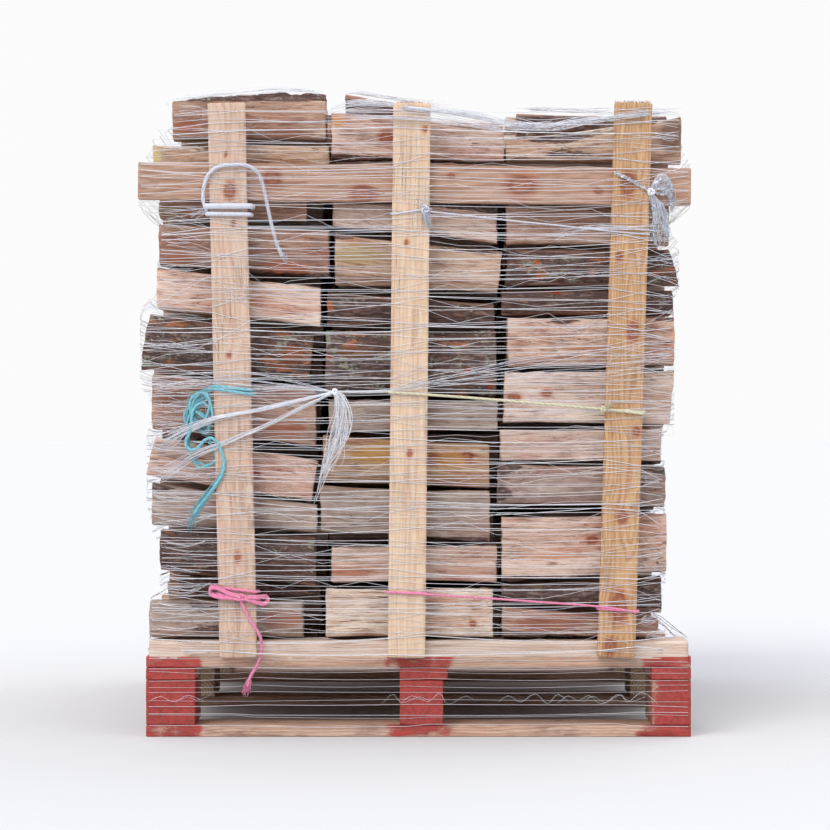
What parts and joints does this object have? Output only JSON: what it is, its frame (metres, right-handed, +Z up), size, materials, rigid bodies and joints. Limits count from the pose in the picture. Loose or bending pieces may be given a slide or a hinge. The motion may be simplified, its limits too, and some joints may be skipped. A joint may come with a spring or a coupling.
{
  "type": "palletised firewood bundle",
  "caption": "Block pallet stacked with short split logs in side-by-side bays, framed by sawn battens and rails, tied with twine and wrapped in net.",
  "frame": {"origin": "under the middle of the stack without its loose twines, at the surface it stands on", "axes": "+Z up, the framed front with the coloured twines towards -Y, +X to the right seen from the front"},
  "size_m": [1.028, 1.278, 1.2],
  "materials": {
    "pallet_board": "rough sawn softwood, pinkish beige, weathered grey in places",
    "painted_block": "dull red paint brushed and sprayed on rough wood",
    "base_board": "pale sawn softwood",
    "rail_wood": "sawn softwood, orange pink, reddish knots",
    "pale_batten": "pale sawn softwood with orange heart streaks",
    "golden_batten": "golden sawn softwood with dark knots",
    "split_log": "fresh split face, pinkish tan, fibrous, sawn ends",
    "bark_log": "dark ridged bark with grey green lichen and orange inner bark",
    "weathered_log": "grey weathered split face",
    "mossy_log": "yellow orange stained split face",
    "grey_rope": "worn grey rope, laid strands",
    "teal_twine": "teal baler twine, split film fibres",
    "yellow_twine": "pale yellow green baler twine",
    "pink_twine": "pink baler twine, split film fibres",
    "white_net": "white knitted pallet net threads"
  },
  "bodies": {
    "root": {"base_board_back": "base_board", "base_board_front": "base_board", "batten_back_left": "pale_batten", "batten_back_middle": "pale_batten", "batten_back_right": "golden_batten", "batten_front_left": "pale_batten", "batten_front_middle": "pale_batten", "batten_front_right": "golden_batten", "block_back_left": "painted_block", "block_back_middle": "painted_block", "block_back_right": "painted_block", "block_front_left": "painted_block", "block_front_middle": "painted_block", "block_front_right": "painted_block", "block_middle_left": "painted_block", "block_middle_middle": "painted_block", "block_middle_right": "painted_block", "bottom_board_back": "pallet_board", "bottom_board_front": "pallet_board", "bottom_board_middle": "pallet_board", "deck_board_1": "pallet_board", "deck_board_2": "pallet_board", "deck_board_3": "pallet_board", "deck_board_4": "pallet_board", "deck_board_5": "pallet_board", "grey_rope": "grey_rope", "log_left_01": "split_log", "log_left_04": "split_log", "log_left_05": "split_log", "log_left_06": "bark_log", "log_left_07": "split_log", "log_left_08": "split_log", "log_left_12": "weathered_log", "log_middle_01": "split_log", "log_middle_04": "split_log", "log_middle_06": "bark_log", "log_middle_08": "mossy_log", "log_middle_09": "weathered_log", "log_middle_12": "split_log", "log_right_01": "split_log", "log_right_04": "bark_log", "log_right_06": "split_log", "log_right_07": "split_log", "log_right_08": "split_log", "log_right_09": "weathered_log", "log_right_10": "split_log", "log_rows_left": "split_log", "log_rows_middle": "split_log", "log_rows_right": "split_log", "net_wrap": "white_net", "pink_line": "pink_twine", "pink_twine": "pink_twine", "rail_back": "rail_wood", "rail_front": "rail_wood", "stringer_left": "pallet_board", "stringer_middle": "pallet_board", "stringer_right": "pallet_board", "teal_twine": "teal_twine", "thin_line": "grey_rope", "yellow_twine": "yellow_twine"}
  },
  "joints": []
}
